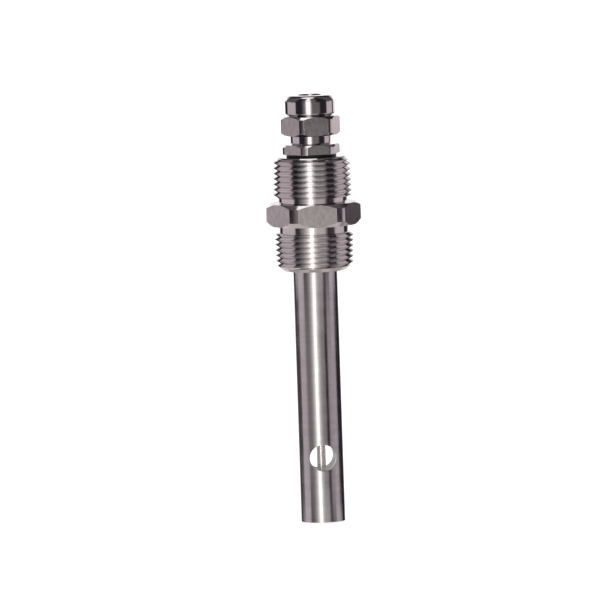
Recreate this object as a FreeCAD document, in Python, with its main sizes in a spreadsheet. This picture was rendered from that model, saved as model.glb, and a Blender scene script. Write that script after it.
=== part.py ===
"""Insertion conductivity probe with a double-ended pipe thread fitting and a screwed cable gland.

The probe stands on the open end of its tube.  Z runs up the axis, the origin is the centre of
the tube's lower end face, and -Y is the side that the flow hole and one flat of the big hexagon face.
"""
import FreeCAD, Part
import math
import os
import re
import Sketcher

Vector = FreeCAD.Vector

SIZES = {
    # outer electrode: a plain stainless tube, open at the bottom, with one hole straight through
    "tube_radius": 7.5,
    "tube_bore": 6.0,
    "tube_top": 95.0,
    "flow_hole_radius": 4.5,
    "flow_hole_height": 22.0,
    # process fitting: 3/4 inch taper pipe thread at both ends of a milled hexagon
    "fitting_bottom": 85.6,
    "fitting_top": 124.4,
    "fitting_socket": 7.52,
    "pipe_crest": 13.0,
    "pipe_pitch": 1.8143,
    "pipe_depth": 1.4,
    "pipe_crest_flat": 0.13,
    "pipe_taper": 0.03125,
    "lower_end_radius": 10.5,
    "lower_end_chamfer": 3.1,
    "lower_thread_end": 98.0,
    "lower_neck_radius": 11.65,
    "upper_end_radius": 11.6,
    "upper_end_chamfer": 1.5,
    "upper_thread_end": 111.0,
    "big_hex_bottom": 101.1,
    "big_hex_top": 108.7,
    "big_hex_flats": 29.5,
    "big_hex_turned": 16.15,
    "big_hex_face": 14.75,
    "big_hex_lower_bevel": 1.65,
    "big_hex_upper_bevel": 1.3,
    "cavity_radius": 6.75,
    "cavity_top": 115.4,
    "relief_radius": 8.1,
    "relief_top": 117.5,
    # gland thread, M16 x 1.5, and the play between its male and female flanks
    "gland_crest": 7.92,
    "gland_depth": 0.92,
    "gland_pitch": 1.5,
    "gland_crest_flat": 0.19,
    "gland_bore_minor": 7.15,
    "gland_bore_depth": 0.9,
    "gland_bore_flat": 0.221,
    # gland body
    "spigot_bottom": 117.0,
    "spigot_undercut": 6.95,
    "gland_seat": 125.35,
    "gland_hex_top": 128.65,
    "gland_hex_flats": 18.2,
    "gland_hex_turned": 9.85,
    "small_hex_face": 9.15,
    "small_hex_bevel": 0.85,
    "gland_neck": 6.95,
    "gland_neck_foot": 0.5,
    "cable_radius": 4.0,
    "cage_seat_radius": 5.0,
    "cage_seat": 130.0,
    "gland_top": 138.6,
    "gland_turn": 10.0,
    # dome nut and its thread, M13 x 1
    "nut_bottom": 131.7,
    "nut_hex_top": 138.2,
    "nut_hex_flats": 18.4,
    "nut_hex_turned": 10.15,
    "nut_top": 145.3,
    "nut_turn": 6.9,
    "cap_radius": 8.5,
    "cap_foot": 7.6,
    "cap_edge": 2.1,
    "cap_foot_edge": 0.9,
    "nut_crest": 6.45,
    "nut_depth": 0.6,
    "nut_pitch": 1.0,
    "nut_crest_flat": 0.13,
    "nut_bore_minor": 5.98,
    "nut_bore_depth": 0.62,
    "nut_bore_flat": 0.127,
    "nut_relief": 6.7,
    "nut_shoulder": 143.0,
    # gland sealing parts
    "gland_ring_outer": 8.5,
    "gland_ring_inner": 7.15,
    "cage_radius": 4.95,
    "cage_bore": 4.1,
    "cage_bulge": 5.6,
    "cage_lip": 3.6,
    "cage_top": 141.5,
    "finger_gap": 0.7,
    "seal_radius": 4.05,
    "seal_bore": 2.9,
    "seal_top": 139.0,
    "slip_radius": 5.9,
    "slip_bore": 4.4,
    "slip_bottom": 140.3,
    # inner electrode and the insulator that carries it
    "rod_radius": 1.5,
    "rod_bore": 0.95,
    "rod_bottom": 6.2,
    "rod_top": 105.5,
    "rod_collar_radius": 2.6,
    "rod_collar_height": 2.0,
    "insulator_bottom": 75.0,
    "insulator_radius": 5.95,
    "insulator_bore": 1.55,
    "insulator_flange": 6.7,
    "insulator_top": 99.0,
    "seal_groove_height": 89.4,
    "seal_groove_root": 4.9,
    "seal_section": 0.54,
    "rod_groove_height": 79.5,
    "rod_groove_root": 2.6,
    "rod_section": 0.53,
    # what holds the insulator and the rod, and their solder lugs
    "retainer_top": 101.2,
    "retainer_radius": 6.7,
    "retainer_bore": 3.8,
    "retainer_slot": 1.2,
    "washer_radius": 3.0,
    "washer_thickness": 0.5,
    "nut_flats": 5.5,
    "nut_height": 2.4,
    "lug_thickness": 0.4,
    "lug_ring": 2.6,
    "lug_width": 1.6,
    "lug_reach": 5.3,
    "screw_offset": 5.1,
    "screw_radius": 0.8,
    "screw_head": 1.15,
    "screw_head_height": 0.8,
    "screw_bottom": 99.3,
    "ground_lug_width": 1.2,
    "ground_lug_reach": 3.8,
    "ground_turn": 187.0,
    "ground_tail_turn": 117.5,
    # terminals and wiring inside the fitting
    "board_bottom": 112.0,
    "board_thickness": 1.2,
    "board_radius": 6.65,
    "liner_radius": 6.7,
    "liner_bore": 6.35,
    "pin_circle": 4.6,
    "pin_radius": 0.5,
    "pin_shoulder": 0.9,
    "pin_bottom": 110.5,
    "pin_top": 115.2,
    "lead_radius": 0.4,
    "sensor_radius": 0.85,
    "sensor_bottom": 9.0,
    "sensor_top": 12.5,
    "sensor_lead_radius": 0.22,
    "sensor_lead_offset": 0.42,
}

doc = FreeCAD.newDocument("probe")
sheet = doc.addObject("Spreadsheet::Sheet", "Sizes")
for row, (name, size) in enumerate(SIZES.items(), start=1):
    sheet.set(f"A{row}", name)
    sheet.set(f"B{row}", str(size))
    sheet.setAlias(f"B{row}", name)
doc.recompute()

pieces = []


def formula(text):
    """A formula in plain size names, each name pointed at its cell in the sheet."""
    return re.sub(r"[a-z]\w*", lambda word: "Sizes." + word[0] if word[0] in SIZES else word[0], text)


def number(text):
    """What a formula comes to now."""
    return float(sheet.evalExpression(formula(text)))


def bind(item, setting, text):
    """Tie one property of an object to a formula."""
    item.setExpression(setting, formula(text))


def new_body(label):
    """An empty body for one piece, or for a set of identical ones."""
    body = doc.addObject("PartDesign::Body", label)
    body.Label = label
    body.AllowCompound = True
    pieces.append(body)
    return body


def new_sketch(body, role, lift="0"):
    """A sketch on one of the body's own planes, raised along the plane's normal."""
    sketch = body.newObject("Sketcher::SketchObject", body.Name + "_sketch")
    plane = next(part for part in body.Origin.OriginFeatures if part.Role == role)
    sketch.AttachmentSupport = [(plane, "")]
    sketch.MapMode = "FlatFace"
    if lift != "0":
        bind(sketch, "AttachmentOffset.Base.z", lift)
    return sketch


def hold(sketch, edge, end, across, up):
    """Fix a sketch point by formulas for its two distances from the origin."""
    for kind, axis, text in (("DistanceX", -2, across), ("DistanceY", -1, up)):
        if text == "0":
            sketch.addConstraint(Sketcher.Constraint("PointOnObject", edge, end, axis))
        else:
            rule = Sketcher.Constraint(kind, -1, 1, edge, end, number(text))
            bind(sketch, f"Constraints[{sketch.addConstraint(rule)}]", text)


def outline(sketch, corners, closed=True):
    """Straight lines from corner to corner, each corner a pair of formulas."""
    spots = [Vector(number(across), number(up), 0) for across, up in corners]
    first = sketch.GeometryCount
    last = len(spots) - 1
    ends = spots[1:] + spots[:1]
    for start, end in list(zip(spots, ends))[: None if closed else last]:
        sketch.addGeometry(Part.LineSegment(start, end))
    for turn in range(last):
        if closed or turn < last - 1:
            joint = Sketcher.Constraint("Coincident", first + turn, 2, first + turn + 1, 1)
            sketch.addConstraint(joint)
    if closed:
        sketch.addConstraint(Sketcher.Constraint("Coincident", first + last, 2, first, 1))
    for turn, (across, up) in enumerate(corners):
        if closed or turn < last:
            hold(sketch, first + turn, 1, across, up)
        else:
            hold(sketch, first + turn - 1, 2, across, up)


def circle(sketch, radius, across="0", up="0"):
    """A circle whose radius and centre are formulas."""
    centre = Vector(number(across), number(up), 0)
    edge = sketch.addGeometry(Part.Circle(centre, Vector(0, 0, 1), number(radius)))
    hold(sketch, edge, 3, across, up)
    rule = sketch.addConstraint(Sketcher.Constraint("Radius", edge, number(radius)))
    bind(sketch, f"Constraints[{rule}]", radius)


def turn(body, corners, kind="Revolution"):
    """Turn an outline of (radius, height) corners round the axis, to add or to cut."""
    sketch = new_sketch(body, "XZ_Plane")
    outline(sketch, corners)
    return spin(body, sketch, kind)


def turn_ring(body, radius, height, section):
    """A ring of round section."""
    sketch = new_sketch(body, "XZ_Plane")
    circle(sketch, section, radius, height)
    return spin(body, sketch, "Revolution")


def spin(body, sketch, kind):
    """Take a sketch all the way round the axis."""
    feature = body.newObject("PartDesign::" + kind, body.Name + "_turned")
    feature.Profile = sketch
    feature.ReferenceAxis = (sketch, ["V_Axis"])
    feature.Angle = 360
    doc.recompute()
    return feature


def extrude(body, sketch, length, kind="Pad", both_ways=False, upward=False):
    """Give a sketch a length, to add or to cut."""
    feature = body.newObject("PartDesign::" + kind, body.Name + "_run")
    feature.Profile = sketch
    feature.Midplane = both_ways
    feature.Reversed = upward
    bind(feature, "Length", length)
    doc.recompute()
    return feature


def hexagon(sketch, flats):
    """Six sides with one flat square to -Y."""
    corner = f"({flats}) / sqrt(3)"
    half = f"({flats}) / (2 * sqrt(3))"
    side = f"({flats}) / 2"
    outline(sketch, [
        (corner, "0"),
        (half, side),
        (f"-{half}", side),
        (f"-{corner}", "0"),
        (f"-{half}", f"-{side}"),
        (half, f"-{side}"),
    ])


def mill_hexagon(body, flats, turned, low, high):
    """Mill six flats on a turned collar, which keeps a strip of its roundness at each corner."""
    sketch = new_sketch(body, "XY_Plane", high)
    circle(sketch, f"{turned} + 2")
    hexagon(sketch, flats)
    return extrude(body, sketch, f"{high} - {low}", "Pocket")


def repeat_round(body, feature, sketch, count):
    """Repeat a feature evenly round the axis of the sketch that it came from."""
    pattern = body.newObject("PartDesign::PolarPattern", body.Name + "_pattern")
    pattern.Originals = [feature]
    pattern.Axis = (sketch, ["N_Axis"])
    pattern.Angle = 360
    pattern.Occurrences = count
    body.Tip = pattern
    doc.recompute()
    return pattern


def soften(body, radius, rims, kind="Fillet"):
    """Round or bevel the circular edges that have the given radii and heights."""
    names = []
    base = body.Tip
    for place, edge in enumerate(base.Shape.Edges, start=1):
        if isinstance(edge.Curve, Part.Circle):
            for rim, height in rims:
                if abs(edge.Curve.Radius - number(rim)) < 0.001:
                    if abs(edge.Curve.Center.z - number(height)) < 0.001:
                        names.append(f"Edge{place}")
    feature = body.newObject("PartDesign::" + kind, body.Name + "_edge")
    feature.Base = (base, names)
    bind(feature, "Radius" if kind == "Fillet" else "Size", radius)
    doc.recompute()


def cut_thread(
    body, crest, depth, pitch, flat, start, travel,
    narrowing="0", inside=False, down=False, role="XZ_Plane",
):
    """Cut a right-hand vee groove up or down along a helix, starting clear of the metal.

    The groove has 60 degree flanks from root to crest and leaves a crest of the width flat.
    Past the crest its sides run straight out, so that neighbouring turns never meet.
    """
    way = "-" if inside else "+"
    back = "+" if inside else "-"
    mouth = f"(({pitch}) - ({flat})) / 2"
    floor = f"({mouth} - ({depth}) * tan(30))"
    sketch = new_sketch(body, role)
    outline(sketch, [
        (f"{crest} {back} {depth}", f"{start} - {floor}"),
        (f"{crest}", f"{start} - {mouth}"),
        (f"{crest} {way} 0.5", f"{start} - {mouth}"),
        (f"{crest} {way} 0.5", f"{start} + {mouth}"),
        (f"{crest}", f"{start} + {mouth}"),
        (f"{crest} {back} {depth}", f"{start} + {floor}"),
    ])
    doc.recompute()
    groove = body.newObject("PartDesign::SubtractiveHelix", body.Name + "_thread")
    groove.Profile = sketch
    groove.ReferenceAxis = (sketch, ["V_Axis"])
    groove.Mode = 0
    groove.LeftHanded = False
    groove.Reversed = down
    bind(groove, "Pitch", pitch)
    bind(groove, "Height", travel)
    bind(groove, "Angle", f"-atan({narrowing})")
    doc.recompute()
    return groove


def fitting():
    """The stainless body that screws into the pipe wall and carries everything else."""
    body = new_body("process_fitting")
    lower_crest = "(pipe_crest + (lower_thread_end - fitting_bottom) * pipe_taper)"
    upper_crest = "(pipe_crest + (fitting_top - upper_thread_end) * pipe_taper)"
    top_crest = "(pipe_crest + upper_end_chamfer * pipe_taper)"
    turn(body, [
        ("fitting_socket", "fitting_bottom"),
        ("pipe_crest", "fitting_bottom"),
        (lower_crest, "lower_thread_end"),
        ("lower_neck_radius", "lower_thread_end + 0.5"),
        ("lower_neck_radius", "big_hex_bottom"),
        ("big_hex_face", "big_hex_bottom"),
        ("big_hex_turned", "big_hex_bottom + big_hex_lower_bevel"),
        ("big_hex_turned", "big_hex_top - big_hex_upper_bevel"),
        ("big_hex_face", "big_hex_top"),
        ("lower_neck_radius", "big_hex_top"),
        ("lower_neck_radius", "upper_thread_end - 0.5"),
        (upper_crest, "upper_thread_end"),
        (top_crest, "fitting_top - upper_end_chamfer"),
        ("upper_end_radius", "fitting_top"),
        ("gland_crest", "fitting_top"),
        ("gland_bore_minor", "fitting_top - 0.75"),
        ("gland_bore_minor", "relief_top"),
        ("relief_radius", "relief_top"),
        ("relief_radius", "cavity_top"),
        ("cavity_radius", "cavity_top"),
        ("cavity_radius", "tube_top"),
        ("fitting_socket", "tube_top"),
    ])
    mill_hexagon(body, "big_hex_flats", "big_hex_turned", "big_hex_bottom", "big_hex_top")
    lower_start = "(lower_thread_end + 0.75)"
    cut_thread(
        body, f"(pipe_crest + ({lower_start} - fitting_bottom) * pipe_taper)", "pipe_depth",
        "pipe_pitch", "pipe_crest_flat", lower_start,
        f"{lower_start} - fitting_bottom + 0.6 * pipe_pitch", "pipe_taper", down=True,
        role="YZ_Plane",
    )
    turn(body, [
        ("lower_end_radius", "fitting_bottom"),
        ("lower_end_radius", "fitting_bottom - 1"),
        ("pipe_crest + 1", "fitting_bottom - 1"),
        ("pipe_crest + 1", "fitting_bottom + lower_end_chamfer"),
    ], "Groove")
    upper_start = "(upper_thread_end - 1.15)"
    cut_thread(
        body, f"(pipe_crest + (fitting_top - {upper_start}) * pipe_taper)", "pipe_depth",
        "pipe_pitch", "pipe_crest_flat", upper_start,
        f"fitting_top - {upper_start} + 0.6 * pipe_pitch", "pipe_taper",
    )
    cut_thread(
        body, "gland_bore_minor", "gland_bore_depth", "gland_pitch", "gland_bore_flat",
        "(spigot_bottom - 0.6 * gland_pitch + 0.5 * gland_pitch)",
        "fitting_top - spigot_bottom + 0.7 * gland_pitch", inside=True,
    )


def tube():
    """The outer electrode, drilled straight through from front to back."""
    body = new_body("outer_electrode_tube")
    turn(body, [
        ("tube_bore", "0"),
        ("tube_radius", "0"),
        ("tube_radius", "tube_top"),
        ("tube_bore", "tube_top"),
    ])
    sketch = new_sketch(body, "XZ_Plane")
    circle(sketch, "flow_hole_radius", "0", "flow_hole_height")
    extrude(body, sketch, "2 * tube_radius + 2", "Pocket", both_ways=True)


def inner_electrode():
    """The hollow rod with its closed tip, the temperature bead in it and the bead's two leads."""
    turn(new_body("inner_electrode_rod"), [
        ("rod_bore", "rod_bottom"),
        ("rod_radius", "rod_bottom"),
        ("rod_radius", "insulator_bottom - rod_collar_height"),
        ("rod_collar_radius", "insulator_bottom - rod_collar_height"),
        ("rod_collar_radius", "insulator_bottom"),
        ("rod_radius", "insulator_bottom"),
        ("rod_radius", "rod_top - 0.3"),
        ("rod_radius - 0.3", "rod_top"),
        ("rod_bore", "rod_top"),
    ])
    turn(new_body("rod_tip_plug"), [
        ("0", "rod_bottom - 0.7"),
        ("rod_radius - 0.4", "rod_bottom - 0.7"),
        ("rod_radius", "rod_bottom - 0.3"),
        ("rod_radius", "rod_bottom"),
        ("rod_bore - 0.02", "rod_bottom"),
        ("rod_bore - 0.02", "sensor_bottom"),
        ("0", "sensor_bottom"),
    ])
    turn(new_body("temperature_sensor"), [
        ("0", "sensor_bottom"),
        ("sensor_radius", "sensor_bottom"),
        ("sensor_radius", "sensor_top - 0.3"),
        ("sensor_radius - 0.3", "sensor_top"),
        ("0", "sensor_top"),
    ])
    body = new_body("temperature_sensor_leads")
    route = new_sketch(body, "XZ_Plane")
    outline(route, [
        ("sensor_lead_offset", "sensor_top"),
        ("sensor_lead_offset", "rod_top + 1"),
        ("pin_circle", "pin_bottom - 1"),
        ("pin_circle", "pin_bottom"),
    ], closed=False)
    section = new_sketch(body, "XY_Plane", "sensor_top")
    circle(section, "sensor_lead_radius", "sensor_lead_offset", "0")
    doc.recompute()
    lead = body.newObject("PartDesign::AdditivePipe", "sensor_lead")
    lead.Profile = section
    lead.Spine = (route, [])
    lead.Transition = "Round corner"
    doc.recompute()
    repeat_round(body, lead, section, 2)
    body.Placement = FreeCAD.Placement(Vector(), FreeCAD.Rotation(Vector(0, 0, 1), 135))


def insulator():
    """The plastic bush that centres the rod, its two sealing rings and the ring that holds it down."""
    body = new_body("electrode_insulator")
    turn(body, [
        ("insulator_bore", "insulator_bottom"),
        ("insulator_radius", "insulator_bottom"),
        ("insulator_radius", "tube_top"),
        ("insulator_flange", "tube_top"),
        ("insulator_flange", "insulator_top"),
        ("insulator_bore", "insulator_top"),
    ])
    turn(body, [
        ("seal_groove_root", "seal_groove_height - seal_section"),
        ("insulator_radius + 0.5", "seal_groove_height - seal_section"),
        ("insulator_radius + 0.5", "seal_groove_height + seal_section"),
        ("seal_groove_root", "seal_groove_height + seal_section"),
    ], "Groove")
    turn(body, [
        ("insulator_bore - 0.5", "rod_groove_height - rod_section"),
        ("rod_groove_root", "rod_groove_height - rod_section"),
        ("rod_groove_root", "rod_groove_height + rod_section"),
        ("insulator_bore - 0.5", "rod_groove_height + rod_section"),
    ], "Groove")
    ring = new_body("insulator_o_ring")
    turn_ring(ring, "seal_groove_root + seal_section", "seal_groove_height", "seal_section")
    ring = new_body("rod_o_ring")
    turn_ring(ring, "rod_groove_root - rod_section - 0.02", "rod_groove_height", "rod_section")
    body = new_body("retaining_ring")
    turn(body, [
        ("retainer_bore", "insulator_top"),
        ("retainer_radius", "insulator_top"),
        ("retainer_radius", "retainer_top"),
        ("retainer_bore", "retainer_top"),
    ])
    slot = new_sketch(body, "XY_Plane", "retainer_top")
    across = "(retainer_radius + 1)"
    half = "(retainer_slot / 2)"
    outline(slot, [
        (across, f"-{half}"),
        (across, half),
        (f"-{across}", half),
        (f"-{across}", f"-{half}"),
    ])
    extrude(body, slot, "1", "Pocket")
    hole = new_sketch(body, "XY_Plane", "retainer_top")
    circle(hole, "screw_radius + 0.02", "screw_offset * cos(ground_turn)", "screw_offset * sin(ground_turn)")
    extrude(body, hole, "retainer_top - screw_bottom + 0.2", "Pocket")


def rod_fixings():
    """Washer, two nuts and the solder lug between them, on top of the rod."""
    turn(new_body("rod_washer"), [
        ("insulator_bore", "insulator_top"),
        ("washer_radius", "insulator_top"),
        ("washer_radius", "insulator_top + washer_thickness"),
        ("insulator_bore", "insulator_top + washer_thickness"),
    ])
    body = new_body("rod_nuts")
    sketch = new_sketch(body, "XY_Plane", "insulator_top + washer_thickness")
    hexagon(sketch, "nut_flats")
    circle(sketch, "insulator_bore")
    nut = extrude(body, sketch, "nut_height")
    pair = body.newObject("PartDesign::LinearPattern", "second_nut")
    pair.Originals = [nut]
    pair.Direction = (sketch, ["N_Axis"])
    bind(pair, "Length", "nut_height + lug_thickness")
    pair.Occurrences = 2
    body.Tip = pair
    doc.recompute()
    lug_height = "insulator_top + washer_thickness + nut_height"
    lug = solder_lug("rod_lug", "lug_ring", "insulator_bore", "lug_width", "lug_reach", lug_height)
    lug.Placement = FreeCAD.Placement(Vector(), FreeCAD.Rotation(Vector(0, 0, 1), 45))


def solder_lug(label, ring, bore, width, reach, height):
    """A flat ring with a straight tail that a wire is soldered to."""
    body = new_body(label)
    sketch = new_sketch(body, "XY_Plane", height)
    circle(sketch, ring)
    extrude(body, sketch, "lug_thickness")
    tail = new_sketch(body, "XY_Plane", height)
    half = f"({width} / 2)"
    outline(tail, [("0", f"-{half}"), (reach, f"-{half}"), (reach, half), ("0", half)])
    extrude(body, tail, "lug_thickness")
    hole = new_sketch(body, "XY_Plane", f"{height} + lug_thickness")
    circle(hole, bore)
    extrude(body, hole, "lug_thickness", "Pocket")
    return body


def ground_fixings():
    """The screw and lug that bond the cable's shield wire to the fitting."""
    angle = number("ground_turn")
    around = FreeCAD.Rotation(Vector(0, 0, 1), angle)
    spot = around.multVec(Vector(number("screw_offset"), 0, 0))
    lug = solder_lug(
        "ground_lug", "screw_head", "screw_radius + 0.05", "ground_lug_width",
        "ground_lug_reach", "retainer_top",
    )
    tail = FreeCAD.Rotation(Vector(0, 0, 1), angle + number("ground_tail_turn"))
    lug.Placement = FreeCAD.Placement(spot, tail)
    screw = new_body("ground_screw")
    turn(screw, [
        ("0", "screw_bottom"),
        ("screw_radius", "screw_bottom"),
        ("screw_radius", "retainer_top + lug_thickness"),
        ("screw_head", "retainer_top + lug_thickness"),
        ("screw_head", "retainer_top + lug_thickness + screw_head_height"),
        ("0", "retainer_top + lug_thickness + screw_head_height"),
    ])
    slot = new_sketch(screw, "XY_Plane", "retainer_top + lug_thickness + screw_head_height")
    outline(slot, [("-screw_head - 1", "-0.15"), ("screw_head + 1", "-0.15"),
                   ("screw_head + 1", "0.15"), ("-screw_head - 1", "0.15")])
    extrude(screw, slot, "0.35", "Pocket")
    screw.Placement = FreeCAD.Placement(spot, around)


def wiring():
    """The terminal board on its liner, with four pins, and the two electrode leads below it."""
    turn(new_body("insulating_liner"), [
        ("liner_bore", "retainer_top"),
        ("liner_radius", "retainer_top"),
        ("liner_radius", "board_bottom"),
        ("liner_bore", "board_bottom"),
    ])
    board = new_body("terminal_board")
    sketch = new_sketch(board, "XY_Plane", "board_bottom")
    circle(sketch, "board_radius")
    extrude(board, sketch, "board_thickness")
    holes = new_sketch(board, "XY_Plane", "board_bottom + board_thickness")
    diagonal = "(pin_circle / sqrt(2))"
    circle(holes, "pin_radius + 0.03", diagonal, diagonal)
    drilled = extrude(board, holes, "board_thickness", "Pocket")
    repeat_round(board, drilled, holes, 4)
    pins = new_body("terminal_pins")
    top = "board_bottom + board_thickness"
    shank = new_sketch(pins, "XY_Plane", "pin_bottom")
    circle(shank, "pin_radius", diagonal, diagonal)
    lower = extrude(pins, shank, "pin_top - pin_bottom")
    collar = new_sketch(pins, "XY_Plane", top)
    circle(collar, "pin_shoulder", diagonal, diagonal)
    upper = extrude(pins, collar, "0.5")
    pattern = pins.newObject("PartDesign::PolarPattern", "four_pins")
    pattern.Originals = [lower, upper]
    pattern.Axis = (shank, ["N_Axis"])
    pattern.Angle = 360
    pattern.Occurrences = 4
    pins.Tip = pattern
    doc.recompute()
    lug_top = "insulator_top + washer_thickness + nut_height + lug_thickness"
    for label, start, angle in (
        ("rod_lead", lug_top, 45),
        ("ground_lead", "retainer_top + lug_thickness", 225),
    ):
        lead = doc.addObject("Part::Cylinder", label)
        lead.Label = label
        bind(lead, "Radius", "lead_radius")
        bind(lead, "Height", f"pin_bottom - ({start})")
        bind(lead, "Placement.Base.x", f"pin_circle * cos({angle})")
        bind(lead, "Placement.Base.y", f"pin_circle * sin({angle})")
        bind(lead, "Placement.Base.z", start)
        pieces.append(lead)
    doc.recompute()


def gland():
    """The cable gland that screws into the top of the fitting."""
    ring = new_body("gland_o_ring")
    turn(ring, [
        ("gland_ring_inner", "fitting_top"),
        ("gland_ring_outer", "fitting_top"),
        ("gland_ring_outer", "gland_seat"),
        ("gland_ring_inner", "gland_seat"),
    ])
    soften(ring, "0.28", [("gland_ring_outer", "fitting_top"), ("gland_ring_outer", "gland_seat")])
    body = new_body("gland_body")
    turn(body, [
        ("cable_radius", "spigot_bottom"),
        ("gland_crest - 0.8", "spigot_bottom"),
        ("gland_crest", "spigot_bottom + 0.8"),
        ("gland_crest", "gland_seat - 1.8"),
        ("spigot_undercut", "gland_seat - 1.35"),
        ("spigot_undercut", "gland_seat"),
        ("gland_hex_turned", "gland_seat"),
        ("gland_hex_turned", "gland_hex_top - small_hex_bevel"),
        ("small_hex_face", "gland_hex_top"),
        ("gland_neck", "gland_hex_top"),
        ("gland_neck", "nut_bottom - 0.25"),
        ("nut_crest - nut_depth", "nut_bottom + 0.35"),
        ("nut_crest - nut_depth", "nut_bottom + 1.5"),
        ("nut_crest", "nut_bottom + 2"),
        ("nut_crest", "gland_top - 0.6"),
        ("nut_crest - 0.6", "gland_top"),
        ("cage_seat_radius", "gland_top"),
        ("cage_seat_radius", "cage_seat"),
        ("cable_radius", "cage_seat"),
    ])
    mill_hexagon(body, "gland_hex_flats", "gland_hex_turned", "gland_seat", "gland_hex_top")
    soften(body, "gland_neck_foot", [("gland_neck", "gland_hex_top")])
    cut_thread(
        body, "gland_crest", "gland_depth", "gland_pitch", "gland_crest_flat",
        "(spigot_bottom - 0.6 * gland_pitch + gland_pitch * gland_turn / 360)",
        "gland_seat - spigot_bottom + 0.6 * gland_pitch - 1.05",
    )
    cut_thread(
        body, "nut_crest", "nut_depth", "nut_pitch", "nut_crest_flat", "(nut_bottom + 0.9)",
        "gland_top - nut_bottom - 0.9 + 0.6 * nut_pitch",
    )
    body.Placement = FreeCAD.Placement(Vector(), FreeCAD.Rotation(Vector(0, 0, 1), number("gland_turn")))
    seal = new_body("gland_seal")
    turn(seal, [
        ("seal_bore", "cage_seat + 0.6"),
        ("seal_radius", "cage_seat + 0.6"),
        ("seal_radius", "seal_top"),
        ("seal_bore + 0.5", "seal_top"),
        ("seal_bore", "seal_top - 0.5"),
    ])
    clamp_cage()
    ring = new_body("gland_slip_ring")
    turn(ring, [
        ("slip_radius - 0.28", "slip_bottom"),
        ("slip_radius", "slip_bottom"),
        ("slip_radius", "nut_shoulder"),
        ("slip_bore", "nut_shoulder"),
        ("slip_bore", "nut_shoulder - 1"),
    ])


def clamp_cage():
    """The plastic cage whose fingers the dome nut squeezes in on the cable."""
    body = new_body("gland_clamp_cage")
    turn(body, [
        ("cage_lip", "cage_seat"),
        ("cage_radius", "cage_seat"),
        ("cage_radius", "gland_top + 0.4"),
        ("cage_bulge", "gland_top + 0.7"),
        ("cage_bulge", "cage_top - 1.4"),
        ("cage_bulge - 1", "cage_top"),
        ("cage_bore", "cage_top"),
        ("cage_bore", "cage_seat + 0.6"),
        ("cage_lip", "cage_seat + 0.6"),
    ])
    gap = new_sketch(body, "XY_Plane", "cage_top")
    half = "(finger_gap / 2)"
    outline(gap, [
        ("2", f"-{half}"),
        ("cage_bulge + 1", f"-{half}"),
        ("cage_bulge + 1", half),
        ("2", half),
    ])
    slot = extrude(body, gap, "cage_top - cage_seat - 2.2", "Pocket")
    repeat_round(body, slot, gap, 8)


def dome_nut():
    """The hexagon nut with a domed cap that closes the gland."""
    body = new_body("gland_dome_nut")
    turn(body, [
        ("nut_bore_minor + 0.77", "nut_bottom"),
        ("small_hex_face", "nut_bottom"),
        ("nut_hex_turned", "nut_bottom + small_hex_bevel"),
        ("nut_hex_turned", "nut_hex_top - small_hex_bevel"),
        ("small_hex_face", "nut_hex_top"),
        ("cap_foot", "nut_hex_top"),
        ("cap_radius", "nut_hex_top + cap_foot_edge"),
        ("cap_radius", "nut_top"),
        ("cable_radius", "nut_top"),
        ("cable_radius", "nut_shoulder"),
        ("nut_bore_minor", "nut_shoulder"),
        ("nut_bore_minor", "gland_top + 1.2"),
        ("nut_relief", "gland_top + 1.2"),
        ("nut_relief", "gland_top + 0.2"),
        ("nut_bore_minor", "gland_top + 0.2"),
        ("nut_bore_minor", "nut_bottom + 0.7"),
    ])
    mill_hexagon(body, "nut_hex_flats", "nut_hex_turned", "nut_bottom", "nut_hex_top")
    cut_thread(
        body, "nut_bore_minor", "nut_bore_depth", "nut_pitch", "nut_bore_flat",
        "(nut_bottom + 0.9 - 1.5 * nut_pitch)", "gland_top + 0.6 - nut_bottom + 0.6 * nut_pitch",
        inside=True,
    )
    soften(body, "cap_edge", [("cap_radius", "nut_top")])
    soften(body, "cap_foot_edge / 2", [("cap_radius", "nut_hex_top + cap_foot_edge")])
    soften(body, "0.6", [("cable_radius", "nut_top")])
    body.Placement = FreeCAD.Placement(Vector(), FreeCAD.Rotation(Vector(0, 0, 1), number("nut_turn")))


tube()
fitting()
insulator()
inner_electrode()
rod_fixings()
ground_fixings()
wiring()
gland()
dome_nut()
doc.recompute()

for item in doc.Objects:
    if "Invalid" in item.State or "Error" in item.State:
        raise RuntimeError(f"{item.Label} failed: {item.State}")
    if item.TypeId.split("::")[-1] in ("Pocket", "Groove", "SubtractiveHelix"):
        taken = item.BaseFeature.Shape.Volume - item.Shape.Volume
        if taken < 0.01:
            raise RuntimeError(f"{item.Label} cuts nothing")
for piece in pieces:
    if piece.Shape.isNull() or not piece.Shape.isValid():
        raise RuntimeError(f"{piece.Label} has no valid shape")

os.makedirs("parts", exist_ok=True)
for piece in pieces:
    piece.Shape.exportStep(f"parts/{piece.Label}.step")
    print(piece.Label, len(piece.Shape.Solids), round(piece.Shape.Volume, 1))
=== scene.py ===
import bpy
import math
from mathutils import Matrix, Vector


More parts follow.
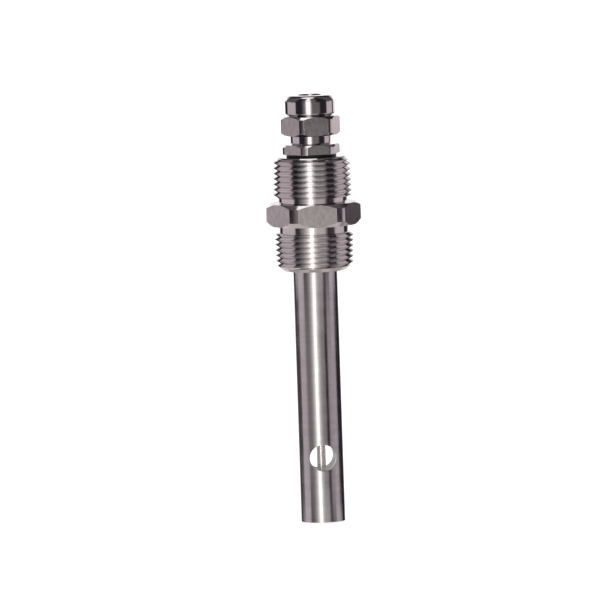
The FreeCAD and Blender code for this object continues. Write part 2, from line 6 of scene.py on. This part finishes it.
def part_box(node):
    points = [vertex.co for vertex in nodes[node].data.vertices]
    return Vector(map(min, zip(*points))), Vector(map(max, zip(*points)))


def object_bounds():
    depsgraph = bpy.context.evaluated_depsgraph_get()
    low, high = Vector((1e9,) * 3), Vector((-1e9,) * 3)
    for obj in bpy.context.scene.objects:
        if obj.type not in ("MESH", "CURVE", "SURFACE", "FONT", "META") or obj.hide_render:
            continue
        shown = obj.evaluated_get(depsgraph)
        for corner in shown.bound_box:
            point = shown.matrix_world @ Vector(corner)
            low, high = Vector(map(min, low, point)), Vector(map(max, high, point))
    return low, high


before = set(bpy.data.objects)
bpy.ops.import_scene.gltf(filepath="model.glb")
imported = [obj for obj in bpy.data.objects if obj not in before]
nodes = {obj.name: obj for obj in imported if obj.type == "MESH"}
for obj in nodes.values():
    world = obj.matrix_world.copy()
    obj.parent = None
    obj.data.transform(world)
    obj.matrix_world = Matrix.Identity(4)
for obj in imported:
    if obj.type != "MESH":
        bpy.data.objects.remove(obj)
cad_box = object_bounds()
MM = 0.001

# ---------------------------------------------------------------- sizes that follow the frame

FITTING_FOOT, FITTING_TOP = (corner.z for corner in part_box("process_fitting"))
FITTING_MIDDLE = (FITTING_FOOT + FITTING_TOP) / 2
FITTING_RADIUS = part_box("process_fitting")[1].x
TUBE_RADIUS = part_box("outer_electrode_tube")[1].x
GLAND_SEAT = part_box("gland_o_ring")[1].z
NUT_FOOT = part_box("gland_dome_nut")[0].z

# Each hexagon is (low height, high height, radius it was turned to before its flats were milled).
# A flat lies a little inside that radius, and no deeper than the given share of it.
BIG_HEX = (FITTING_MIDDLE - 3.9 * MM, FITTING_MIDDLE + 3.7 * MM, FITTING_RADIUS)
BODY_HEX = (GLAND_SEAT, GLAND_SEAT + 3.3 * MM, 9.85 * MM)
NUT_HEX = (NUT_FOOT, NUT_FOOT + 6.5 * MM, 10.15 * MM)
FLAT_CLEARANCE = 0.06 * MM
FLAT_INNER_SHARE = 0.885

# Each pipe thread is (low height, high height). Both taper away from the fitting's middle.
PIPE_THREADS = (
    (FITTING_FOOT + 1.7 * MM, FITTING_MIDDLE - 6.6 * MM),
    (FITTING_MIDDLE + 5.6 * MM, FITTING_TOP - 1.2 * MM),
)
CREST_AT_MIDDLE = 13.6 * MM
THREAD_TAPER = 1 / 32
THREAD_DEPTH = 1.4 * MM
THREAD_CORE = 11.2 * MM
THREAD_ROUNDING = 0.985

# How far a face may lean towards the axis and still be a milled flat, or the wall of a bore.
FLAT_LEAN = 0.2
WALL_LEAN = 0.9
TUBE_BORE = TUBE_RADIUS - 0.4 * MM
METAL_EDGE = 0.12 * MM
PLASTIC_EDGE = 0.08 * MM
GRAIN_DEPTH = 0.02 * MM

# A noise hardly ever leaves this range. Climbs run from 0 at a thread's root to 1 at its crest.
NOISE_LOW, NOISE_HIGH = 0.3, 0.7
ROOT_CLIMB, FLANK_CLIMB, CREST_CLIMB = 0.15, 0.62, 0.85
CREST_ROUGHNESS = 0.27
# Share of the colour kept at a thread's root: painted shade that darkens the thread valleys.
PAINTED_ROOT_SHADE = 0.58
DRAWN_ROUGHNESS = 0.7
DRAWN_SHINE = 0.1


# ---------------------------------------------------------------- materials

class Shader:
    """A material's node tree with short ways to add and join nodes."""

    def __init__(self, name):
        self.material = bpy.data.materials.new(name)
        self.material.use_nodes = True
        self.tree = self.material.node_tree
        self.surface = self.tree.nodes["Principled BSDF"]
        self.place = self.add("ShaderNodeTexCoord").outputs["Object"]
        self.x, self.y, self.z = self.add("ShaderNodeSeparateXYZ", Vector=self.place).outputs

    def add(self, kind, settings=None, **inputs):
        node = self.tree.nodes.new(kind)
        for name, value in (settings or {}).items():
            setattr(node, name, value)
        for name, value in inputs.items():
            self.feed(node.inputs[name.replace("_", " ")], value)
        return node

    def feed(self, socket, value):
        if isinstance(value, bpy.types.NodeSocket):
            self.tree.links.new(value, socket)
        else:
            socket.default_value = value

    def set(self, **values):
        for name, value in values.items():
            self.feed(self.surface.inputs[name.replace("_", " ")], value)

    def math(self, operation, *values):
        node = self.add("ShaderNodeMath", {"operation": operation})
        for socket, value in zip(node.inputs, values):
            self.feed(socket, value)
        return node.outputs[0]

    def stretched(self, across, along):
        """Object coordinates scaled separately across the axis and along it."""
        node = self.add("ShaderNodeMapping", Vector=self.place)
        node.inputs["Scale"].default_value = (across, across, along)
        return node.outputs[0]

    def noise(self, vector, scale=1.0, detail=3.0, roughness=0.5):
        node = self.add(
            "ShaderNodeTexNoise", Vector=vector, Scale=scale, Detail=detail, Roughness=roughness
        )
        return node.outputs[0]

    def fit(self, value, low, high, to_low=0.0, to_high=1.0):
        """A value moved from one range to another, and held at its ends."""
        node = self.add(
            "ShaderNodeMapRange",
            Value=value, From_Min=low, From_Max=high, To_Min=to_low, To_Max=to_high,
        )
        return node.outputs[0]

    def spread(self, noise, to_low=0.0, to_high=1.0):
        """A noise spread over a range."""
        return self.fit(noise, NOISE_LOW, NOISE_HIGH, to_low, to_high)

    def mix(self, kind, factor, first, second):
        """A colour (kind RGBA) or a direction (kind VECTOR) between two others."""
        node = self.add("ShaderNodeMix", {"data_type": kind})
        sockets = [socket for socket in node.inputs if socket.enabled]
        for socket, value in zip(sockets, (factor, first, second)):
            self.feed(socket, value)
        return next(socket for socket in node.outputs if socket.enabled)

    def blend(self, factor, first, second):
        """A number between two others."""
        gap = self.math("SUBTRACT", second, first)
        return self.math("ADD", first, self.math("MULTIPLY", factor, gap))

    def between(self, value, low, high):
        """1 where the value lies between two limits, 0 elsewhere."""
        above = self.math("GREATER_THAN", value, low)
        below = self.math("LESS_THAN", value, high)
        return self.math("MULTIPLY", above, below)

    def from_axis(self):
        """The distance from the probe's axis."""
        squares = [self.math("MULTIPLY", part, part) for part in (self.x, self.y)]
        return self.math("SQRT", self.math("ADD", *squares))

    def lean(self):
        """How much a face looks along the axis: 0 on an upright face, 1 on a level one."""
        normal = self.add("ShaderNodeNewGeometry").outputs["True Normal"]
        parts = self.add("ShaderNodeSeparateXYZ", Vector=normal).outputs
        return self.math("ABSOLUTE", parts["Z"])

    def unit(self, vector):
        node = self.add("ShaderNodeVectorMath", {"operation": "NORMALIZE"}, Vector=vector)
        return node.outputs[0]

    def flats(self, hexes, radius, lean):
        """1 on the milled flats of the hexagons, 0 elsewhere."""
        upright = self.math("LESS_THAN", lean, FLAT_LEAN)
        found = 0.0
        for low, high, turned in hexes:
            level = self.between(self.z, low, high)
            milled = self.between(radius, turned * FLAT_INNER_SHARE, turned - FLAT_CLEARANCE)
            flat = self.math("MULTIPLY", self.math("MULTIPLY", level, milled), upright)
            found = self.math("MAXIMUM", found, flat)
        return found

    def bore_wall(self, bore, radius, lean):
        """1 on the wall of the bore, 0 elsewhere and on the rims at its ends."""
        inside = self.math("LESS_THAN", radius, bore)
        return self.math("MULTIPLY", inside, self.math("LESS_THAN", lean, WALL_LEAN))

    def thread(self, threads, radius):
        """1 on the threads, and the climb up their flanks: 0 at the root, 1 at the crest."""
        level = self.math("ADD", *(self.between(self.z, low, high) for low, high in threads))
        inside = self.math("MULTIPLY", level, self.math("GREATER_THAN", radius, THREAD_CORE))
        from_middle = self.math("ABSOLUTE", self.math("SUBTRACT", self.z, FITTING_MIDDLE))
        drop = self.math("MULTIPLY", from_middle, THREAD_TAPER)
        crest = self.math("SUBTRACT", CREST_AT_MIDDLE, drop)
        climb = self.fit(self.math("SUBTRACT", radius, crest), -THREAD_DEPTH, 0.0)
        return inside, climb

    def rounded_flanks(self, inside):
        """The surface normal, turned most of the way to straight out where the thread is."""
        outward = self.add("ShaderNodeCombineXYZ", X=self.x, Y=self.y, Z=0.0).outputs[0]
        surface = self.add("ShaderNodeNewGeometry").outputs["Normal"]
        share = self.math("MULTIPLY", inside, THREAD_ROUNDING)
        return self.unit(self.mix("VECTOR", share, surface, self.unit(outward)))

    def rounded_edges(self, width):
        """The surface normal, with the edges slightly rounded."""
        return self.add("ShaderNodeBevel", {"samples": 6}, Radius=width).outputs[0]

    def relief(self, height, strength, ground):
        """Bump from a height, on top of a given normal."""
        bump = self.add(
            "ShaderNodeBump", Height=height, Strength=strength, Distance=GRAIN_DEPTH, Normal=ground
        )
        self.set(Normal=bump.outputs[0])


def shade(colour, factor=1.0):
    """A colour made darker or lighter, with its alpha."""
    return tuple(channel * factor for channel in colour) + (1,)


def turned_metal(
    name, colour, roughness, grain=1.0, hexes=(), flat_roughness=0.22, flat_tone=0.7, threads=(),
    bore=0.0,
):
    """Metal turned on a lathe, with fine rings round the axis, and milled flats on each hexagon.

    The threads are shaded as if their flanks were rounded, with dull worn crests and each root
    darkened by painted shade.
    The wall of the bore is pale and dull, as it is after drawing.
    """
    s = Shader(name)
    radius = s.from_axis()
    lean = s.lean()
    rings = s.noise(s.stretched(25, 5200), detail=2.0, roughness=0.6)
    smears = s.noise(s.place, scale=190.0, detail=4.0, roughness=0.55)
    bands = s.noise(s.stretched(60, 1100), roughness=0.6)
    mottle = s.math("ADD", s.math("MULTIPLY", smears, 0.5), s.math("MULTIPLY", bands, 0.5))
    wear = s.fit(smears, 0.35, 0.7, roughness * 0.85, roughness * 1.3)
    tone = s.mix("RGBA", s.spread(mottle), shade(colour, 0.88), shade(colour, 1.05))
    height = rings
    metal = 1.0
    if hexes:
        flat = s.flats(hexes, radius, lean)
        marks = s.noise(s.stretched(800, 450), roughness=0.65)
        dull = s.spread(marks, flat_roughness * 0.96, flat_roughness * 1.04)
        dark = shade(colour, flat_tone - 0.12)
        light = shade(colour, flat_tone + 0.10)
        wear = s.blend(flat, wear, dull)
        height = s.blend(flat, rings, s.math("MULTIPLY", marks, 0.12))
        tone = s.mix("RGBA", flat, tone, s.mix("RGBA", s.spread(marks), dark, light))
    if bore:
        wall = s.bore_wall(bore, radius, lean)
        wear = s.blend(wall, wear, DRAWN_ROUGHNESS)
        metal = s.blend(wall, 1.0, DRAWN_SHINE)
        tone = s.mix("RGBA", wall, tone, shade(DRAWN_STEEL))
    if threads:
        inside, climb = s.thread(threads, radius)
        crests = s.math("MULTIPLY", inside, s.fit(climb, FLANK_CLIMB, CREST_CLIMB))
        # Painted shade: the colour darkens towards each thread's root, as if the valleys lay in
        # shade.
        painted_root_shade = s.math("MULTIPLY", inside, s.fit(climb, ROOT_CLIMB, FLANK_CLIMB, 1.0, 0.0))
        wear = s.blend(crests, wear, CREST_ROUGHNESS)
        tone = s.mix("RGBA", painted_root_shade, tone, shade(colour, PAINTED_ROOT_SHADE))
        ground = s.rounded_flanks(inside)
    else:
        ground = s.rounded_edges(METAL_EDGE)
    around = s.add("ShaderNodeTangent", {"direction_type": "RADIAL", "axis": "Z"}).outputs[0]
    s.set(Base_Color=tone, Metallic=metal, Roughness=wear)
    s.set(Anisotropic=0.4, Anisotropic_Rotation=0.25, Tangent=around)
    s.relief(height, 0.10 * grain, ground)
    return s.material


def moulded(name, colour, roughness, shadow=0.86, bump=0.15, scale=900.0):
    """Plastic, rubber, ceramic or laminate, with a fine grain and a little variation in tone."""
    s = Shader(name)
    grain = s.noise(s.place, scale=scale, detail=4.0, roughness=0.6)
    cloud = s.noise(s.place, scale=scale * 0.12)
    tone = s.mix("RGBA", s.spread(cloud), shade(colour, shadow), shade(colour))
    wear = s.spread(grain, roughness * 0.85, roughness * 1.15)
    s.set(Base_Color=tone, Roughness=wear)
    s.relief(grain, bump, s.rounded_edges(PLASTIC_EDGE))
    return s.material


FITTING_STEEL = (0.63, 0.61, 0.605)
TUBE_STEEL = (0.62, 0.61, 0.61)
DRAWN_STEEL = (0.90, 0.89, 0.89)
ROD_STEEL = (0.82, 0.80, 0.77)
GLAND_PLATING = (0.66, 0.64, 0.635)

fitting_steel = turned_metal(
    "fitting_steel", FITTING_STEEL, 0.11,
    hexes=(BIG_HEX,), flat_roughness=0.25, flat_tone=0.90, threads=PIPE_THREADS,
)
tube_steel = turned_metal("tube_steel", TUBE_STEEL, 0.13, grain=0.8, bore=TUBE_BORE)
rod_steel = turned_metal("rod_steel", ROD_STEEL, 0.24)
gland_metal = turned_metal("gland_metal", GLAND_PLATING, 0.07, grain=0.5, hexes=(BODY_HEX, NUT_HEX))
small_steel = turned_metal("small_steel", (0.58, 0.57, 0.56), 0.26)
tinned_brass = turned_metal("tinned_brass", (0.72, 0.70, 0.64), 0.32)
pin_brass = turned_metal("pin_brass", (0.85, 0.62, 0.28), 0.22)
black_rubber = moulded("black_rubber", (0.012, 0.012, 0.013), 0.5)
insulator_plastic = moulded("insulator_plastic", (0.86, 0.86, 0.83), 0.42, bump=0.08)
cage_plastic = moulded("cage_plastic", (0.02, 0.02, 0.022), 0.38)
slip_plastic = moulded("slip_plastic", (0.78, 0.78, 0.73), 0.35)
board_laminate = moulded("board_laminate", (0.06, 0.22, 0.10), 0.4, shadow=0.76, scale=2600.0)
sensor_ceramic = moulded("sensor_ceramic", (0.82, 0.80, 0.74), 0.25)
liner_plastic = moulded("liner_plastic", (0.80, 0.80, 0.74), 0.4)
red_insulation = moulded("red_insulation", (0.50, 0.03, 0.025), 0.4)
blue_insulation = moulded("blue_insulation", (0.03, 0.08, 0.42), 0.4)
green_insulation = moulded("green_insulation", (0.05, 0.30, 0.08), 0.4)

FINISHES = {
    "process_fitting": fitting_steel,
    "outer_electrode_tube": tube_steel,
    "inner_electrode_rod": rod_steel,
    "rod_tip_plug": rod_steel,
    "electrode_insulator": insulator_plastic,
    "insulator_o_ring": black_rubber,
    "rod_o_ring": black_rubber,
    "retaining_ring": small_steel,
    "rod_washer": small_steel,
    "rod_nuts": small_steel,
    "rod_lug": tinned_brass,
    "ground_lug": tinned_brass,
    "ground_screw": small_steel,
    "temperature_sensor": sensor_ceramic,
    "temperature_sensor_leads": red_insulation,
    "rod_lead": blue_insulation,
    "ground_lead": green_insulation,
    "insulating_liner": liner_plastic,
    "terminal_board": board_laminate,
    "terminal_pins": pin_brass,
    "gland_o_ring": black_rubber,
    "gland_body": gland_metal,
    "gland_seal": black_rubber,
    "gland_clamp_cage": cage_plastic,
    "gland_slip_ring": slip_plastic,
    "gland_dome_nut": gland_metal,
}
for name, finish in FINISHES.items():
    for slot in nodes[name].material_slots:
        slot.material = finish


# ---------------------------------------------------------------- studio

CAMERA_AZIMUTH = -5.5
DARK = (0.027, 0.022, 0.031)
WHITE = (1.0, 0.98, 0.96)
GREY = (1.0, 0.92, 0.90)
PINK = (1.0, 0.88, 0.93)

# Each panel is (start, end, softness, strength, tint), its azimuths in degrees from the camera's,
# to the right. Where panels lie over each other, their light adds up.
BACK = (
    (157, 170, 4, 0.85, WHITE),
    (-170, -157, 4, 0.85, WHITE),
    (174, 180, 4, 0.25, WHITE),
    (-180, -174, 4, 0.25, WHITE),
)
BESIDE_TUBE = BACK + (
    (-150, -100, 6, 0.05, PINK),
    (-98, -75, 13, 0.53, PINK),
    (-62, 31, 9, 0.24, GREY),
    (-32, 10, 12, 0.24, GREY),
    (-24, 0, 9, 0.42, WHITE),
    (-17, -7, 5, 1.05, WHITE),
    (58, 97, 12, 0.45, PINK),
)
BESIDE_FITTING = BACK + (
    (-127, -68, 5, 0.74, PINK),
    (-39, 38, 12, 0.31, GREY),
    (-25, 34, 12, 0.42, GREY),
    (-16, 1, 9, 0.40, WHITE),
    (-10, -4, 4, 2.30, WHITE),
    (77, 118, 5, 0.72, PINK),
)
BESIDE_GLAND = BACK + (
    (-122, -72, 5, 0.62, PINK),
    (-30, 43, 7, 0.14, GREY),
    (-20, 6, 6, 0.38, WHITE),
    (-14, 0, 5, 1.30, WHITE),
    (86, 121, 5, 0.64, PINK),
    (138, 153, 5, 1.10, PINK),
)
HIGH = (
    (-122, -72, 10, 0.10, PINK),
    (-27, 22, 14, 0.14, GREY),
    (-16, 0, 7, 1.25, WHITE),
    (86, 121, 10, 0.10, PINK),
)
BEHIND = HIGH + (
    (140, 180, 8, 1.40, WHITE),
    (-180, -140, 8, 1.40, WHITE),
)
FOOT = BESIDE_FITTING + (
    (126, 180, 5, 0.45, GREY),
    (-180, -126, 5, 0.45, GREY),
)
GROUND = ((-180, 180, 1, 0.66, GREY),)
SOFTBOX = ((-180, 180, 1, 1.50, WHITE),)

# The screens stand in a ring round the probe. An upright face seen from the camera reflects them
# from somewhat lower down, so the limits between the bands of panels are lower by that much.
REACH = 0.55
CENTRE = 0.01
BOTTOM = -0.70
TOP = 1.10
GROUND_RADIUS = 0.36
REFLECTED_BELOW = 50 * MM
FOOT_LIMIT = -0.28
LOWER_LIMIT = -0.22
TUBE_END_LIMIT = -10 * MM - REFLECTED_BELOW
TUBE_LIMIT = FITTING_FOOT - 0.3 * MM - REFLECTED_BELOW
FITTING_LIMIT = FITTING_TOP + 0.5 * MM - REFLECTED_BELOW
GLAND_LIMIT = 0.12
BEHIND_START = 0.18
BEHIND_END = 0.26
HIGH_START = 0.50
SOFTBOX_RADIUS = 0.28
SOFTBOX_HEIGHT = 1.08
SOFTBOX_SHIFT = 0.09
SCREEN_STEP = 2


def spot(azimuth, radius, height):
    """A point round the probe, its azimuth counted from the camera's, to the right."""
    angle = math.radians(CAMERA_AZIMUTH + azimuth)
    return Vector((radius * math.sin(angle), -radius * math.cos(angle), height))


def light_at(panels, azimuth):
    """The light of all the panels at one azimuth; each fades out over its softness at both ends."""
    light = list(DARK)
    for start, end, softness, strength, tint in panels:
        outside = max(start - azimuth, azimuth - end, 0.0)
        glow = strength * max(0.0, 1.0 - outside / softness)
        light = [a + glow * b for a, b in zip(light, tint)]
    return light


def glowing(name):
    """A material that gives off the light stored at each point of its mesh."""
    material = bpy.data.materials.new(name)
    material.use_nodes = True
    tree = material.node_tree
    tree.nodes.clear()
    stored = tree.nodes.new("ShaderNodeAttribute")
    stored.attribute_name = "light"
    lamp = tree.nodes.new("ShaderNodeEmission")
    output = tree.nodes.new("ShaderNodeOutputMaterial")
    tree.links.new(stored.outputs["Color"], lamp.inputs["Color"])
    tree.links.new(lamp.outputs[0], output.inputs[0])
    return material


def pale(name):
    """A material for a plain pale floor, which takes only a faint soft shadow."""
    material = bpy.data.materials.new(name)
    material.use_nodes = True
    surface = material.node_tree.nodes["Principled BSDF"]
    surface.inputs["Base Color"].default_value = (0.5, 0.5, 0.5, 1)
    surface.inputs["Roughness"].default_value = 1.0
    surface.inputs["Specular IOR Level"].default_value = 0.0
    surface.inputs["Emission Color"].default_value = (1, 1, 1, 1)
    surface.inputs["Emission Strength"].default_value = 0.78
    return material


def stage_piece(name, points, faces, material):
    """A piece of the studio, from its points and faces."""
    mesh = bpy.data.meshes.new(name)
    mesh.from_pydata(points, [], faces)
    mesh.materials.append(material)
    piece = bpy.data.objects.new(name, mesh)
    bpy.context.collection.objects.link(piece)
    return piece


def screen(name, first, second):
    """A light-giving band between two rings, each (radius, height, panels), only reflected."""
    points, colours = [], []
    for azimuth in range(-180, 181, SCREEN_STEP):
        for radius, height, panels in (first, second):
            points.append(spot(azimuth, radius, height))
            colours += light_at(panels, azimuth) + [1.0]
    faces = [(n, n + 2, n + 3, n + 1) for n in range(0, len(points) - 2, 2)]
    piece = stage_piece(name, points, faces, screen_light)
    stored = piece.data.color_attributes.new("light", "FLOAT_COLOR", "POINT")
    stored.data.foreach_set("color", colours)
    piece.visible_camera = False
    piece.visible_diffuse = False
    piece.visible_shadow = False
    return piece


screen_light = glowing("screen")
for name, first, second in (
    ("ground", (CENTRE, BOTTOM, GROUND), (GROUND_RADIUS, BOTTOM, GROUND)),
    ("ground_edge", (GROUND_RADIUS, BOTTOM, GROUND), (REACH, BOTTOM, FOOT)),
    ("foot_screen", (REACH, BOTTOM, FOOT), (REACH, FOOT_LIMIT, FOOT)),
    ("foot_fade", (REACH, FOOT_LIMIT, FOOT), (REACH, LOWER_LIMIT, BESIDE_FITTING)),
    ("lower_screen", (REACH, LOWER_LIMIT, BESIDE_FITTING), (REACH, TUBE_END_LIMIT, BESIDE_FITTING)),
    ("tube_screen", (REACH, TUBE_END_LIMIT, BESIDE_TUBE), (REACH, TUBE_LIMIT, BESIDE_TUBE)),
    ("fitting_screen", (REACH, TUBE_LIMIT, BESIDE_FITTING), (REACH, FITTING_LIMIT, BESIDE_FITTING)),
    ("gland_screen", (REACH, FITTING_LIMIT, BESIDE_GLAND), (REACH, GLAND_LIMIT, BESIDE_GLAND)),
    ("gland_fade", (REACH, GLAND_LIMIT, BESIDE_GLAND), (REACH, BEHIND_START, BEHIND)),
    ("behind_screen", (REACH, BEHIND_START, BEHIND), (REACH, BEHIND_END, BEHIND)),
    ("behind_fade", (REACH, BEHIND_END, BEHIND), (REACH, HIGH_START, HIGH)),
    ("high_screen", (REACH, HIGH_START, HIGH), (REACH, TOP, HIGH)),
    ("ceiling", (REACH, TOP, HIGH), (CENTRE, TOP, HIGH)),
):
    screen(name, first, second)
rim = (SOFTBOX_RADIUS, SOFTBOX_HEIGHT, SOFTBOX)
softbox = screen("softbox", rim, (CENTRE, SOFTBOX_HEIGHT, SOFTBOX))
softbox.location = spot(-90, SOFTBOX_SHIFT, 0.0)

FLOOR_REACH = 6.0
FLOOR_LEVEL = -0.5 * MM
square = ((-1, -1), (1, -1), (1, 1), (-1, 1))
corners = [(x * FLOOR_REACH, y * FLOOR_REACH, FLOOR_LEVEL) for x, y in square]
floor = stage_piece("floor", corners, [(0, 1, 2, 3)], pale("floor"))
floor.visible_glossy = False

world = bpy.data.worlds.new("studio")
world.use_nodes = True
world.node_tree.nodes["Background"].inputs["Color"].default_value = (1, 1, 1, 1)
world.node_tree.nodes["Background"].inputs["Strength"].default_value = 1.0
bpy.context.scene.world = world
bpy.context.scene.view_settings.view_transform = "Standard"


# ---------------------------------------------------------------- camera

CAMERA_ELEVATION = 5.2
CAMERA_ROLL = 1.9
CAMERA_DISTANCE = 4.5
CAMERA_FAR_LIMIT = 50
SENSOR_WIDTH = 36
VIEW_WIDTH = 203.8 * MM
AIM_RIGHT = -5.58 * MM
AIM_UP = 2.66 * MM

azimuth = math.radians(CAMERA_AZIMUTH)
elevation = math.radians(CAMERA_ELEVATION)
roll = math.radians(CAMERA_ROLL)
side = Vector((math.cos(azimuth), math.sin(azimuth), 0))
level = Vector((math.sin(azimuth), -math.cos(azimuth), 0))
away = level * math.cos(elevation) + Vector((0, 0, math.sin(elevation)))
rise = away.cross(side)
right = side * math.cos(roll) - rise * math.sin(roll)
up = side * math.sin(roll) + rise * math.cos(roll)
low, high = cad_box
target = Vector((0, 0, (low[2] + high[2]) / 2)) + right * AIM_RIGHT + up * AIM_UP

lens = bpy.data.cameras.new("camera")
lens.sensor_width = SENSOR_WIDTH
lens.lens = SENSOR_WIDTH * CAMERA_DISTANCE / VIEW_WIDTH
lens.clip_end = CAMERA_FAR_LIMIT
camera = bpy.data.objects.new("camera", lens)
bpy.context.collection.objects.link(camera)
turn = Matrix((right, up, away)).transposed().to_4x4()
camera.matrix_world = Matrix.Translation(target + away * CAMERA_DISTANCE) @ turn
bpy.context.scene.camera = camera
